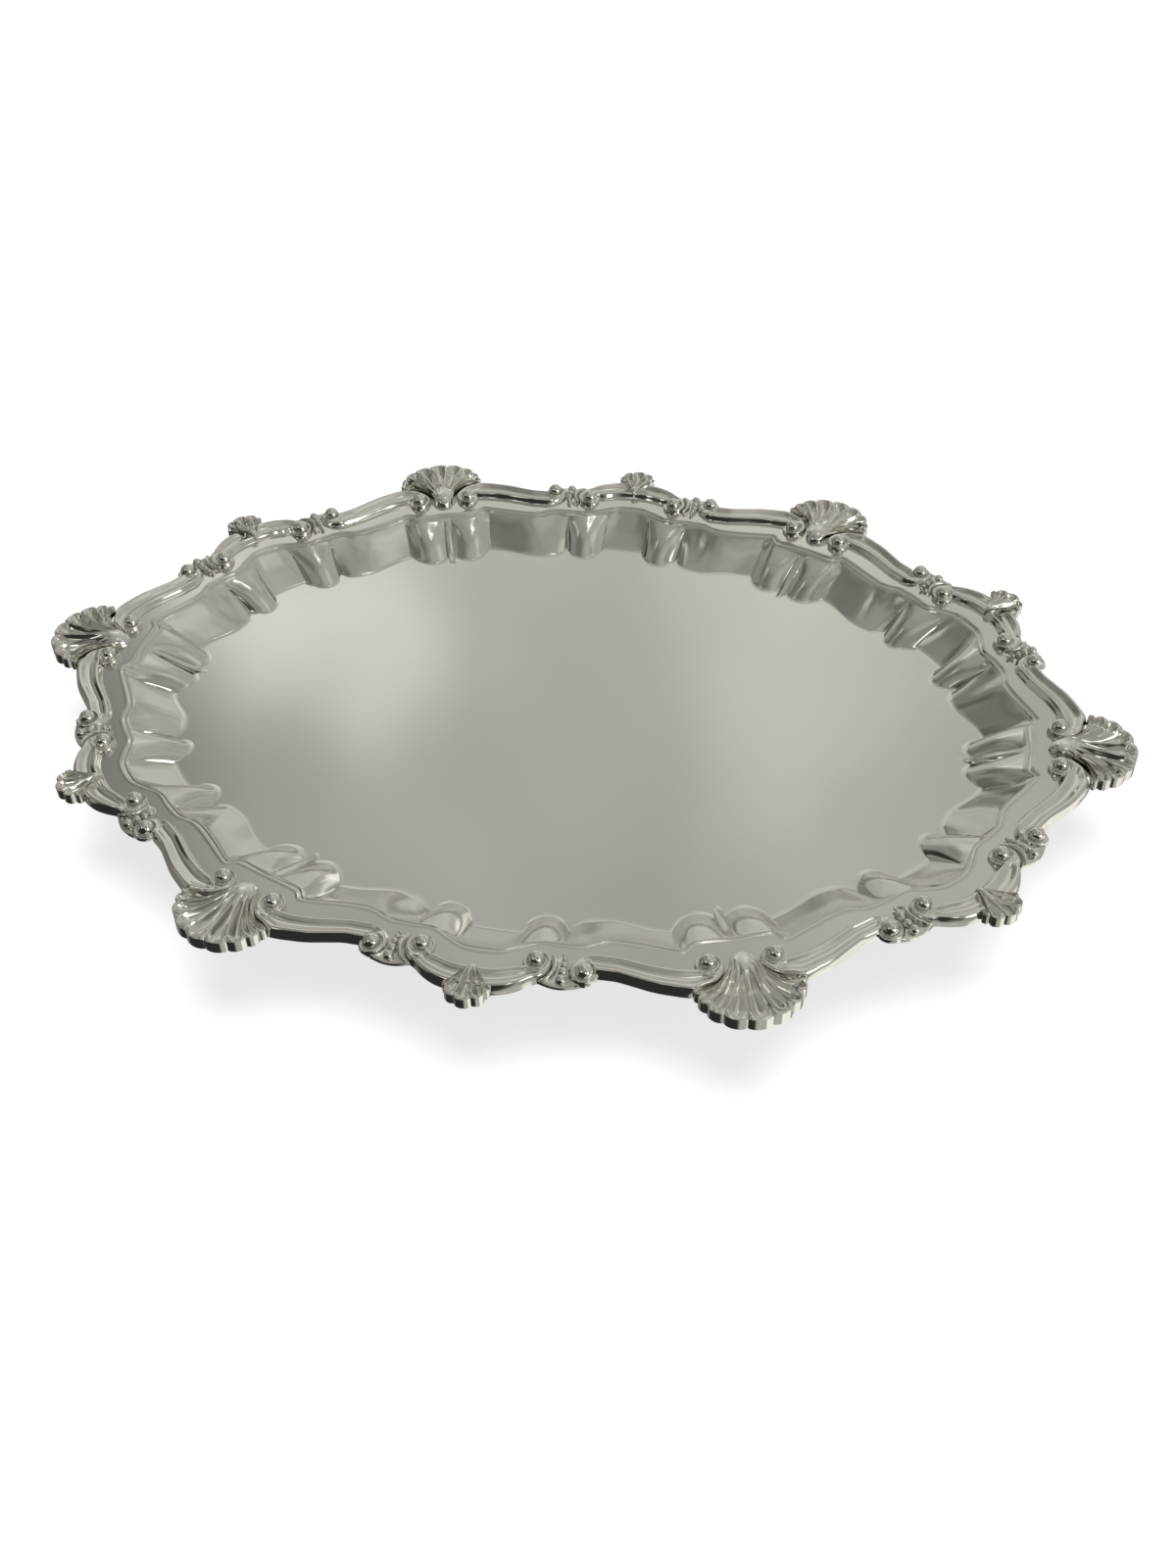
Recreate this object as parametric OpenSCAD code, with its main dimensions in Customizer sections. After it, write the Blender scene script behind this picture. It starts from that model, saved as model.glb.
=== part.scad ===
// Oval footed salver with a shell-and-scroll border, built from separate soldered castings.
// The plate lies in XY with its long axis on X, and the origin is on the table below its middle.
// The border's pattern is drawn on a straight strip: s runs along the oval from the middle of a
// shell and n runs outwards. One pitch is a shell to the next palmette, and each pitch is mirrored.

/* [Plate] */
// Length along X of the oval that the shell eyes lie on
line_l = 267.2; // [250:0.2:290]
// Width along Y of the oval that the shell eyes lie on
line_w = 201; // [190:0.2:215]
// Thickness of the plate's sheet
sheet_t = 1.2; // [0.9:0.1:1.5]
// Depth of the well's floor below the middle of the ball eyes
well_drop = 9; // [8:0.5:10]
// Depth of the flat shelf below the middle of the ball eyes
shelf_drop = 1.6; // [1.5:0.1:1.8]

/* [Border] */
// Diameter of the ball eyes in the scroll ends
ball_d = 4.3; // [3.8:0.1:4.4]
// Height of the mouldings' outer crest above the middle of the ball eyes
crest_z = 0.3; // [0:0.1:0.8]
// Number of flutes in a shell
shell_flutes = 9; // [7:2:11]
// Number of flutes in a palmette
palmette_flutes = 5; // [3:2:5]

/* [Feet] */
// Height of the middle of the ball eyes above the table
stand_h = 26; // [24:0.5:30]
// Diameter of the pad under a foot
pad_d = 10; // [8:0.5:12]
// Diameter of a foot's stem
stem_d = 5; // [4:0.5:6]

/* [Hidden] */

// The oval and the length along it
semi_x = line_l / 2;
semi_y = line_w / 2;
arc_steps = 360;
function oval(t) = [semi_x * cos(t), semi_y * sin(t)];
arc_table = [for (i = 0, s = 0; i <= arc_steps;
    s = s + norm(oval(i + 1) - oval(i)), i = i + 1) [s, i]];
girth = arc_table[arc_steps][0];
drawn_pitch = 61.6;
pitch = girth / 12;

// A point of the strip on the oval, where station k counts shells and palmettes from +X
function on_oval(s, n) =
    let (t = lookup(s - girth * floor(s / girth), arc_table),
         out = [semi_y * cos(t), semi_x * sin(t)])
    oval(t) + n * out / norm(out);
function bend(k, side, p) = on_oval((k + side * p[0] / drawn_pitch) * pitch, p[1]);

// A smooth curve through hand-set points of an outline
function span(c, x, i = 0) = i >= len(c) - 2 || x < c[i + 1][0] ? i : span(c, x, i + 1);
function lean(c, i) = i == 0 || i == len(c) - 1 ? 0
    : (c[i + 1][1] - c[i - 1][1]) / (c[i + 1][0] - c[i - 1][0]);
function smooth(c, x) =
    let (i = span(c, x), h = c[i + 1][0] - c[i][0], u = (x - c[i][0]) / h)
    c[i][1] * (1 - u) * (1 - u) * (1 + 2 * u) + c[i + 1][1] * u * u * (3 - 2 * u)
    + lean(c, i) * h * u * (1 - u) * (1 - u) - lean(c, i + 1) * h * u * u * (1 - u);
function polar(c, r, a) = [c[0] + r * cos(a), c[1] + r * sin(a)];

// Middles of the ball eyes: beside the shell, at the outer volute, in the C-scroll
eye_shell = [7.9, 0];
eye_outer = [36.3, 1.8];
eye_c = [13.8, -1.3];

// Inner foot and outer edge of the long scroll's moulding, from the shell
foot_line = [[10, 0.4], [12.6, 0.4], [16.8, -0.3], [21, -1.5], [25.2, -2.9], [29.4, -4.1], [33.7, -4.5]];
edge_line = [[9.8, 7.2], [12.6, 8.2], [16.8, 7.2], [21, 5.9], [25.2, 4.1], [29.4, 2.5], [33.2, 2]];
// Inner foot and outer edge of the C-scroll's moulding, from the palmette
c_foot_line = [[0, 1.7], [4.2, 1.5], [8.4, 0.4], [11, -1.2]];
c_edge_line = [[0, 9.2], [4.2, 9], [8.4, 8], [12, 6], [13.8, 4.6]];
// Rim of the sheet under the border, top and bottom of the wall, each from a shell to a palmette
rim_line = [[0, 9], [9, 7], [12.6, 6.8], [21, 4.4], [29.4, 1], [33, 0.6], [36.3, 2.5], [41, 3], [46, 3.4],
    [50, 5], [55, 7], [61.6, 7.4]];
step_line = [[0, -6], [9, -5.6], [12, -3.6], [16.8, -4.8], [21, -6], [27, -7.4], [31.6, -7.6], [36.3, -6.2],
    [42, -6.4], [48, -6.9], [53, -4.4], [57, -2.6], [61.6, -2.2]];
wall_top_line = [[0, -8.5], [9.5, -8.7], [12.6, -6.3], [16.8, -7.4], [21, -8.8], [27, -10.2], [31.6, -10.3],
    [36.3, -8.8], [42, -8.8], [48, -9], [53, -7.2], [57, -5.5], [61.6, -5.3]];

// Bottom of the wall: round lobes that meet in corners
function lobe(x, middle, half, reach, flank) =
    reach - flank * (1 - sqrt(max(0, 1 - pow((x - middle) / half, 2))));
function wall_foot(s) =
    let (x = abs(s))
    x < 1.2 ? -25.2 + 0.8 * x
    : x < 14.3 ? -lobe(x, 6.5, 8.6, 23.6, 10)
    : x < 41.4 ? -smooth([[14.3, 18.6], [20, 19.8], [28, 22.4], [33, 23], [38, 22.4], [41.4, 20]], x)
    : x < 54.8 ? -lobe(x, 48.1, 7.2, 23.3, 9)
    : -17.4;

module pewter(shade = 0.7) { color([shade, shade * 0.99, shade * 0.95]) children(); }

// Triangles for a closed ring of sections, or an open row of sections with two end caps
function quad(a, b, c, d) = [[a, b, c], [a, c, d]];
function tube_faces(rows, m, closed = false) = concat(
    [for (i = [0 : rows - (closed ? 1 : 2)], j = [0 : m - 1])
        let (a = i * m, b = (i + 1) % rows * m, k = (j + 1) % m)
        each quad(a + j, a + k, b + k, b + j)],
    closed ? [] : [[for (j = [m - 1 : -1 : 0]) j], [for (j = [0 : m - 1]) (rows - 1) * m + j]]);

// ---- Plate ----
plate_steps = 14 * 12;
plate_z = stand_h;
function fold(i) = let (x = i * 12 / plate_steps % 2) (x > 1 ? 2 - x : x) * drawn_pitch;
function ring_n(i) =
    let (s = fold(i), foot = wall_foot(s), top = smooth(wall_top_line, s), step = smooth(step_line, s),
         rim = smooth(rim_line, s), t = sheet_t)
    [[-60, -well_drop], [foot - 1.5, -well_drop], [foot, -well_drop + 0.4],
     [foot + 0.35 * (top - foot), -well_drop + 2.6], [top - 0.5, -shelf_drop - 0.9], [top, -shelf_drop - 0.4],
     [step, -shelf_drop], [rim, -shelf_drop], [rim, -shelf_drop - t], [step + 0.3, -shelf_drop - t],
     [top + 0.8, -shelf_drop - t - 0.5], [foot + 0.35 * (top - foot) + 1, -well_drop + 2.4 - t],
     [foot + 0.8, -well_drop - t + 0.2], [foot - 1, -well_drop - t], [-60, -well_drop - t]];
plate_rows = len(ring_n(0));
module well_plate() {
    sections = [for (i = [0 : plate_steps - 1], p = ring_n(i))
        let (q = on_oval(i * girth / plate_steps, p[0])) [q[0], q[1], plate_z + p[1]]];
    middle = [[0, 0, plate_z - well_drop], [0, 0, plate_z - well_drop - sheet_t]];
    n = plate_steps * plate_rows;
    skin = [for (i = [0 : plate_steps - 1], j = [0 : plate_rows - 2])
        let (a = i * plate_rows, b = (i + 1) % plate_steps * plate_rows)
        each quad(a + j, a + j + 1, b + j + 1, b + j)];
    floors = [for (i = [0 : plate_steps - 1])
        let (a = i * plate_rows, b = (i + 1) % plate_steps * plate_rows)
        each [[n, a, b], [n + 1, b + plate_rows - 1, a + plate_rows - 1]]];
    pewter(0.72) polyhedron(concat(sections, middle), concat(skin, floors), convexity = 6);
}

// ---- Mouldings ----
// A section of moulding from its foot f to its edge e, with its height scaled by h
moulding = [[0, -1], [0.02, -0.6], [0.22, -0.12], [0.5, -0.3], [0.8, 0.16], [0.97, 0.02], [1, -0.5], [1, -1]];
function section(k, side, f, e, h) = [for (p = moulding)
    let (q = bend(k, side, f + p[0] * (e - f)), z = p[1] < 0 ? p[1] * shelf_drop : p[1] * crest_z / 0.16)
    [q[0], q[1], stand_h + (p[1] <= -0.99 ? -shelf_drop : (z + shelf_drop) * h - shelf_drop)]];
module sweep(k, side, pairs) {
    points = [for (p = pairs) each section(k, side, p[0], p[1], p[2])];
    faces = tube_faces(len(pairs), len(moulding));
    polyhedron(points, side < 0 ? faces : [for (f = faces) [for (i = [len(f) - 1 : -1 : 0]) f[i]]],
        convexity = 6);
}
module ball_eye(k, side, p) {
    q = bend(k, side, p);
    translate([q[0], q[1], stand_h]) sphere(d = ball_d, $fn = 32);
}
ring_r = ball_d / 2 + 0.3;

// Outer radius of a volute as it winds in, from r0 at the start to r1 at its end
function wind(r0, r1, u, power) = r1 + (r0 - r1) * pow(1 - u, power);

// Long scroll, with an inward volute beside the shell and an outward volute at the pearls
shell_turn = [for (i = [0 : 10]) let (u = 1 - i / 10, a = 75 + 215 * u)
    [polar(eye_shell, ring_r, a - 50 * (1 - u)), polar(eye_shell, wind(7.3, 3.2, u, 3), a), 1 - 0.35 * u]];
long_run = [for (s = [12.2 : 2.4 : 32])
    [[s, smooth(foot_line, s)], [s, smooth(edge_line, s)], 1]];
outer_turn = [for (i = [0 : 10]) let (u = i / 10, a = 249 + 196 * u)
    [polar(eye_outer, wind(6.9, 3.4, u, 3), a), polar(eye_outer, ring_r, a - 69 * (1 - u)), 1 - 0.3 * u]];
module long_scroll(k, side) {
    pewter(0.76) {
        sweep(k, side, concat(shell_turn, long_run, outer_turn));
        ball_eye(k, side, eye_shell);
        ball_eye(k, side, eye_outer);
    }
}

// C-scroll, wound inwards at both ends, with a lowered seat under the palmette
seat_half = 5.6;
seat_h = 0.35;
c_run = [for (s = [0 : 2 : 10]) [[s, smooth(c_foot_line, s)], [s, smooth(c_edge_line, s)],
    s < seat_half ? seat_h : 1]];
c_turn = [for (i = [0 : 10]) let (u = i / 10, a = 90 - 205 * u)
    [polar(eye_c, ring_r, a + 60 * (1 - u)), polar(eye_c, wind(5.9, 3.1, u, 2.2), a), 1 - 0.3 * u]];
c_half = concat(c_run, c_turn);
c_whole = concat(
    [for (i = [len(c_half) - 1 : -1 : 1]) let (p = c_half[i])
        [[-p[0][0], p[0][1]], [-p[1][0], p[1][1]], p[2]]],
    c_half);
module c_scroll(k) {
    pewter(0.76) {
        sweep(k, 1, c_whole);
        ball_eye(k, 1, eye_c);
        ball_eye(k, -1, eye_c);
    }
}

// ---- Shells and palmettes ----
// A fan of flutes: lines from a narrow root bend out to a round rim
function fan_line(root_w, root_n, bow, middle, r, spread, v, u) =
    let (root = [root_w * v, root_n + 0.5 * abs(v)],
         turn = [bow[0] * v, bow[1]],
         rim = [middle[0] + r * sin(v * spread), middle[1] + r * cos(v * spread)])
    root * (1 - u) * (1 - u) + turn * 2 * u * (1 - u) + rim * u * u;
function flute_dip(v, flutes) = abs(cos(v * flutes * 90));
module fan(k, root_w, root_n, bow, middle, r, spread, flutes, low, high) {
    rows = [0, 0.14, 0.3, 0.5, 0.7, 0.88, 1];
    cols = 2 * flutes;
    function rise(u, v) = high * (0.25 + 0.75 * sin(min(1, u * 2.2) * 90))
        - 0.7 * sin(u * 150) * flute_dip(v, flutes) - (u > 0.95 ? 1 : 0) - (u < 0.05 ? 0.6 : 0);
    top = [for (u = rows, j = [0 : cols]) let (v = 2 * j / cols - 1,
        scallop = 1 - 0.045 * (1 - flute_dip(v, flutes)) * u,
        q = bend(k, 1, fan_line(root_w, root_n, bow, middle, r * scallop, spread, v, u)))
        [q[0], q[1], stand_h + rise(u, v)]];
    floor_points = [for (p = top) [p[0], p[1], stand_h + low]];
    m = cols + 1;
    n = len(top);
    last = (len(rows) - 1) * m;
    tops = [for (i = [0 : len(rows) - 2], j = [0 : cols - 1])
        each quad(i * m + j, i * m + m + j, i * m + m + j + 1, i * m + j + 1)];
    floors = [for (f = tops) [n + f[2], n + f[1], n + f[0]]];
    sides = concat(
        [for (j = [0 : cols - 1]) each quad(j, j + 1, n + j + 1, n + j)],
        [for (j = [0 : cols - 1]) each quad(last + j + 1, last + j, n + last + j, n + last + j + 1)],
        [for (i = [0 : len(rows) - 2]) each quad((i + 1) * m, i * m, n + i * m, n + (i + 1) * m)],
        [for (i = [0 : len(rows) - 2])
            each quad(i * m + cols, (i + 1) * m + cols, n + (i + 1) * m + cols, n + i * m + cols)]);
    polyhedron(concat(top, floor_points), concat(tops, floors, sides), convexity = 8);
}
module shell(k) {
    pewter(0.8) fan(k, 2.1, -3.2, [3.4, 7.5], [0, 6.8], 12.7, 81, shell_flutes, -shelf_drop, 1.1);
}
palmette_low = -shelf_drop + (crest_z + shelf_drop) * seat_h + 0.05;
module palmette(k) {
    pewter(0.8) fan(k, 0.5, 2.4, [2, 7], [0, 9], 5.3, 88, palmette_flutes, palmette_low, 1.2);
}

// ---- Pearls and leaf in the wedge between two scrolls ----
pearl_row = [[41.5, -4, 0.45], [41.4, -2.6, 0.65], [41.5, -0.7, 0.85], [41.75, 1.5, 1.05], [41.9, 4.2, 1.3]];
joint_gap = 0.3;
function outer_edge(a, d) = polar(eye_outer, wind(6.9, 3.4, ((a + 360) - 249) / 196, 3) + d, a);
function c_edge(a, d) =
    let (p = polar(eye_c, wind(5.9, 3.1, (90 - a) / 205, 2.2) + d, a)) [drawn_pitch - p[0], p[1]];
wedge_tip = [41.9, -5.1];
wedge = concat([for (a = [-42 : 14 : 70]) outer_edge(a, joint_gap)],
    [for (a = [78 : -14 : -34]) c_edge(a, joint_gap)], [wedge_tip]);
leaf = concat([for (a = [-28 : 14 : 70]) c_edge(a, joint_gap + 0.2)],
    [for (a = [70 : -14 : -28]) c_edge(a, joint_gap + 1.2)]);
web_z = -0.8;
leaf_z = 0.2;
module strip_plate(k, side, outline, low, high) {
    translate([0, 0, stand_h + low]) linear_extrude(high - low)
        polygon([for (p = outline) bend(k, side, p)]);
}
module pearls(k, side) {
    pewter(0.74) {
        strip_plate(k, side, wedge, -shelf_drop, web_z);
        strip_plate(k, side, leaf, web_z, leaf_z);
        for (p = pearl_row) {
            q = bend(k, side, p);
            translate([q[0], q[1], stand_h + web_z + 0.3 * p[2]]) sphere(r = p[2], $fn = 24);
        }
    }
}

// ---- Feet ----
// A cabriole leg in the upright plane that runs outwards through its knee, from the underside of
// the well to a round pad on the table
foot_n = -24;
foot_h = stand_h - well_drop - sheet_t;
cap_d = stem_d + 4;
cap_h = 1.6;
pad_h = 2.4;
knee_r = foot_h * 0.27;
ankle_r = foot_h * 0.33;
knee_end = -22;
ankle_end = 220;
knee_at = [-5, foot_h - knee_r - stem_d / 2];
ankle_at = polar(knee_at, knee_r + ankle_r, knee_end);
pad_x = ankle_at[0] + ankle_r * cos(ankle_end) + 0.6;
knop = polar(knee_at, knee_r, knee_end);
module bow(middle, r, from, to, d) {
    translate([middle[0], 0, middle[1]]) rotate([90, 0, 0]) rotate([0, 0, from])
        rotate_extrude(angle = to - from, $fn = 64) translate([r, 0]) circle(d = d, $fn = 32);
}
module foot(k) {
    place = on_oval(k * pitch, foot_n);
    away = on_oval(k * pitch, foot_n + 1) - place;
    pewter(0.66) translate([place[0], place[1], 0]) rotate([0, 0, atan2(away[1], away[0])]) {
        translate([knee_at[0], 0, foot_h - cap_h]) cylinder(d = cap_d, h = cap_h, $fn = 48);
        bow(knee_at, knee_r, knee_end, 84, stem_d);
        bow(ankle_at, ankle_r, 180 + knee_end, ankle_end, stem_d * 0.8);
        translate([knop[0], 0, knop[1]]) sphere(d = stem_d * 1.3, $fn = 32);
        translate([pad_x, 0, 0]) cylinder(d = pad_d, h = pad_h, $fn = 48);
    }
}

well_plate();
for (i = [1 : 6]) shell(2 * i - 2);
for (i = [1 : 6]) long_scroll(2 * i - 2, -1);
for (i = [1 : 6]) long_scroll(2 * i - 2, 1);
for (i = [1 : 6]) c_scroll(2 * i - 1);
for (i = [1 : 6]) palmette(2 * i - 1);
for (i = [1 : 6]) pearls(2 * i - 2, -1);
for (i = [1 : 6]) pearls(2 * i - 2, 1);
for (i = [1 : 4]) foot([2, 4, 8, 10][i - 1]);
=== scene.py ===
# Oval footed salver with a sunk, lobed well and a cast shell-and-scroll border.
# The border's pattern is drawn on a straight strip and bent round the oval. On the strip, s runs
# along the oval from the middle of a shell, n runs outwards, and z is counted from the middle of
# the ball eyes, all in millimetres. Twelve stations, a shell and a palmette in turn, lie one pitch
# apart, and the pattern is mirrored about each of them.
import math
import bpy
import numpy as np
from mathutils import Matrix, Vector


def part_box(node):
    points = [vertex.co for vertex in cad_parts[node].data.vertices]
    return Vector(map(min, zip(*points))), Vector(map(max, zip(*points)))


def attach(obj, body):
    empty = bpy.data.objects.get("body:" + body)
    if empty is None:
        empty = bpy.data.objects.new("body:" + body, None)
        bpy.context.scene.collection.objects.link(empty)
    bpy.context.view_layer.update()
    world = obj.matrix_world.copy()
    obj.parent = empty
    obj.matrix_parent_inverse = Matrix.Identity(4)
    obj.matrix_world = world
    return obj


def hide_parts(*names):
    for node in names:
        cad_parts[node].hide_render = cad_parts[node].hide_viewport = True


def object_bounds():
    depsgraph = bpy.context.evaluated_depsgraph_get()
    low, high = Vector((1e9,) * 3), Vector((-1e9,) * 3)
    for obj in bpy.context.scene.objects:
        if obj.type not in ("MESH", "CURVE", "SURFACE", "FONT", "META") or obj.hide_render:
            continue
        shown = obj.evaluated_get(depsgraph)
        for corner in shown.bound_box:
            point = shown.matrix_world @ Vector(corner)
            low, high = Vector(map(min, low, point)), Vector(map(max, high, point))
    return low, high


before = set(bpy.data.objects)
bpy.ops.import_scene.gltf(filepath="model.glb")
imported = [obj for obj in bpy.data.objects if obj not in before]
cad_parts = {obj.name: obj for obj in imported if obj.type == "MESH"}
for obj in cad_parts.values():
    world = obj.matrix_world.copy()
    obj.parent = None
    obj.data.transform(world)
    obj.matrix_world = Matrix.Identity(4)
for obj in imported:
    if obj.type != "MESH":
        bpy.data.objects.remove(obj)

bl_info = {
    "name": "Shell-border salver",
    "version": (1, 0, 0),
    "blender": (4, 5, 0),
    "location": "3D View > Sidebar > Salver",
    "description": "Builds an oval footed salver with a shell-and-scroll border",
    "category": "Add Mesh",
}

MM = 0.001
FRAME_LOW, FRAME_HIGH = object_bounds()
BALL_R = 2.15
EYE_Z = FRAME_HIGH.z / MM - BALL_R
SHELL_REACH = 19.5
SEMI_X = FRAME_HIGH.x / MM - SHELL_REACH
OVAL_RATIO = 201 / 267.2
SEMI_Y = SEMI_X * OVAL_RATIO
PITCH = 61.6
STATIONS = 12
SHELL_STATIONS = range(0, STATIONS, 2)
PALMETTE_STATIONS = range(1, STATIONS, 2)

# Middles of the ball eyes on the strip: beside the shell, in the outer volute, in the C-scroll
EYE_SHELL = np.array([7.9, 0.0])
EYE_OUTER = np.array([36.3, 1.8])
EYE_C = np.array([13.8, -1.3])

# Heights from the middle of the ball eyes
SHEET = 1.2
SHELF_Z = -1.6
WELL_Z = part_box("well_plate")[0].z / MM + SHEET - EYE_Z


# ---------------------------------------------------------------- settings
class SalverPlateSettings(bpy.types.PropertyGroup):
    sheet: bpy.props.FloatProperty(
        name="Sheet", description="Thickness of the plate's sheet", unit="LENGTH", default=SHEET * MM)
    step: bpy.props.FloatProperty(
        name="Step", description="Drop of the double fillet inside the shelf", unit="LENGTH",
        default=0.8 * MM)


class SalverBorderSettings(bpy.types.PropertyGroup):
    shell_flutes: bpy.props.IntProperty(
        name="Shell flutes", description="Number of flutes in a shell", default=9, min=5, max=13)
    palmette_flutes: bpy.props.IntProperty(
        name="Palmette flutes", description="Number of flutes in a palmette", default=5, min=3, max=7)
    flute_depth: bpy.props.FloatProperty(
        name="Flute depth", description="Depth of a shell's flutes", unit="LENGTH", default=1.9 * MM)


class SalverFinishSettings(bpy.types.PropertyGroup):
    silver: bpy.props.FloatVectorProperty(
        name="Silver", description="Colour of the clean metal", subtype="COLOR", size=3,
        default=(0.89, 0.868, 0.7))
    # The dark colour mixed in by the recess values: tarnish, and also painted shade
    patina_and_shade: bpy.props.FloatVectorProperty(
        name="Patina And Shade", description="Colour of the tarnish in the recesses", subtype="COLOR", size=3,
        default=(0.1, 0.078, 0.045))
    plate_roughness: bpy.props.FloatProperty(
        name="Plate roughness", description="Roughness of the worn, satin plate", subtype="FACTOR",
        default=0.105)
    border_roughness: bpy.props.FloatProperty(
        name="Border roughness", description="Roughness of the polished castings", subtype="FACTOR",
        default=0.085)


class SalverStageSettings(bpy.types.PropertyGroup):
    azimuth: bpy.props.FloatProperty(
        name="Azimuth", description="Direction that the camera looks along, from +Y towards -X",
        subtype="ANGLE", default=math.radians(12.4))
    elevation: bpy.props.FloatProperty(
        name="Elevation", description="Height of the camera's line above level", subtype="ANGLE",
        default=math.radians(42.12))
    roll: bpy.props.FloatProperty(
        name="Roll", description="Turn of the camera about its own line", subtype="ANGLE",
        default=math.radians(-1.31))
    distance: bpy.props.FloatProperty(
        name="Distance", description="Distance from the camera to the point it looks at", unit="LENGTH",
        default=0.4077)
    lens: bpy.props.FloatProperty(
        name="Lens", description="Focal length on a frame 36 mm wide", unit="CAMERA", default=36.13)


# ---------------------------------------------------------------- strip and curves
def oval_table(a, b, count=7200):
    """Angles round an ellipse, and the arc length at each."""
    t = np.linspace(0, 2 * math.pi, count + 1)
    x, y = a * np.cos(t), b * np.sin(t)
    s = np.concatenate([[0], np.cumsum(np.hypot(np.diff(x), np.diff(y)))])
    return t, s


OVAL_T, OVAL_S = oval_table(SEMI_X, SEMI_Y)
GIRTH = OVAL_S[-1]


def on_oval(s, n):
    """Points of the plan at arc length s and outward distance n."""
    t = np.interp(np.mod(s, GIRTH), OVAL_S, OVAL_T)
    out = np.stack([SEMI_Y * np.cos(t), SEMI_X * np.sin(t)], -1)
    out /= np.linalg.norm(out, axis=-1, keepdims=True)
    return np.stack([SEMI_X * np.cos(t), SEMI_Y * np.sin(t)], -1) + np.asarray(n)[..., None] * out


def bend(station, side, s, n, z):
    """Points of the salver in metres for strip points round a station."""
    s, n, z = np.broadcast_arrays(np.asarray(s, float), np.asarray(n, float), np.asarray(z, float))
    flat = on_oval((station + side * s / PITCH) * GIRTH / STATIONS, n)
    return np.concatenate([flat, (EYE_Z + z)[..., None]], -1) * MM


def spline(points, per_span):
    """A smooth curve through the points, with per_span steps between each two."""
    p = np.asarray(points, float)
    p = np.concatenate([[2 * p[0] - p[1]], p, [2 * p[-1] - p[-2]]])
    u = np.arange(per_span)[:, None] / per_span
    spans = []
    for a, b, c, d in zip(p, p[1:], p[2:], p[3:]):
        spans.append(b + 0.5 * u * (c - a + u * (2 * a - 5 * b + 4 * c - d + u * (3 * (b - c) + d - a))))
    return np.concatenate(spans + [p[-2:-1]])


def outline(points, x):
    """Height of a smooth outline, given by its points from left to right, at x."""
    curve = spline(points, 12)
    return np.interp(x, curve[:, 0], curve[:, 1])


def polar(middle, radius, degrees):
    """Points at a radius and angles round a middle."""
    a = np.radians(degrees)
    return np.stack([middle[0] + radius * np.cos(a), middle[1] + radius * np.sin(a)], -1)


def wind(start, end, u, power):
    """Radius of a volute that winds in from start to end."""
    return end + (start - end) * np.power(1 - u, power)


def fold(station_position):
    """Strip length from the nearest shell, for a position counted in stations."""
    x = np.mod(station_position, 2)
    return np.where(x > 1, 2 - x, x) * PITCH


# ---------------------------------------------------------------- meshes
def mesh_object(name, points, faces, recess=None, sharp=40):
    """A smooth-shaded object from points and faces, with its recess values as an attribute: how far dark
    patina and painted shade darken each point.
    """
    mesh = bpy.data.meshes.new(name)
    mesh.from_pydata(np.asarray(points).tolist(), [], faces)
    mesh.validate()
    mesh.shade_smooth()
    mesh.set_sharp_from_angle(angle=math.radians(sharp))
    if recess is not None:
        layer = mesh.attributes.new("recess", "FLOAT", "POINT")
        layer.data.foreach_set("value", np.asarray(recess, np.float32).ravel())
    piece = bpy.data.objects.new(name, mesh)
    bpy.context.scene.collection.objects.link(piece)
    face_outwards(piece)
    return piece


def face_outwards(piece):
    """Turns a closed mesh's faces outwards, by the sign of the volume that they enclose."""
    mesh = piece.data
    mesh.calc_loop_triangles()
    corners = np.empty(len(mesh.vertices) * 3)
    mesh.vertices.foreach_get("co", corners)
    corners = corners.reshape(-1, 3)
    tri = np.empty(len(mesh.loop_triangles) * 3, int)
    mesh.loop_triangles.foreach_get("vertices", tri)
    a, b, c = (corners[tri[i::3]] for i in range(3))
    if np.einsum("ij,ij->i", a, np.cross(b, c)).sum() < 0:
        mesh.flip_normals()


def grid_faces(rows, cols, wrap_cols=False):
    """Quads between neighbours of a grid of points stored row by row."""
    i, j = np.meshgrid(np.arange(rows - 1), np.arange(cols if wrap_cols else cols - 1), indexing="ij")
    i, j = i.ravel(), j.ravel()
    right = (j + 1) % cols
    quads = np.stack([i * cols + j, i * cols + right, (i + 1) * cols + right, (i + 1) * cols + j], -1)
    return quads.tolist()


def slab_faces(rows, cols):
    """Faces of a closed slab whose points are a top grid and then an underside grid."""
    count = rows * cols
    top = grid_faces(rows, cols)
    under = [[count + k for k in face[::-1]] for face in top]
    edge = list(range(cols)) + [i * cols + cols - 1 for i in range(1, rows)]
    edge += [(rows - 1) * cols + j for j in range(cols - 2, -1, -1)]
    edge += [i * cols for i in range(rows - 2, 0, -1)]
    sides = [[b, a, count + a, count + b] for a, b in zip(edge, edge[1:] + edge[:1])]
    return top + under + sides


def tube_faces(rows, cols):
    """Faces of a tube of rings of points, with both its ends capped."""
    last = (rows - 1) * cols
    ends = [list(range(cols))[::-1], [last + j for j in range(cols)]]
    return grid_faces(rows, cols, wrap_cols=True) + ends


def ring_angles(count):
    """Evenly spaced angles round a full turn."""
    return np.linspace(0, 2 * math.pi, count, endpoint=False)


def join_parts(parts):
    """One list of points, faces and recess values from several (points, faces, recess) parts."""
    points, faces, recess, count = [], [], [], 0
    for p, f, r in parts:
        p = np.asarray(p).reshape(-1, 3)
        points.append(p)
        faces.extend([[k + count for k in face] for face in f])
        recess.append(np.broadcast_to(np.asarray(r, float).ravel(), len(p)))
        count += len(p)
    return np.concatenate(points), faces, np.concatenate(recess)


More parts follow.
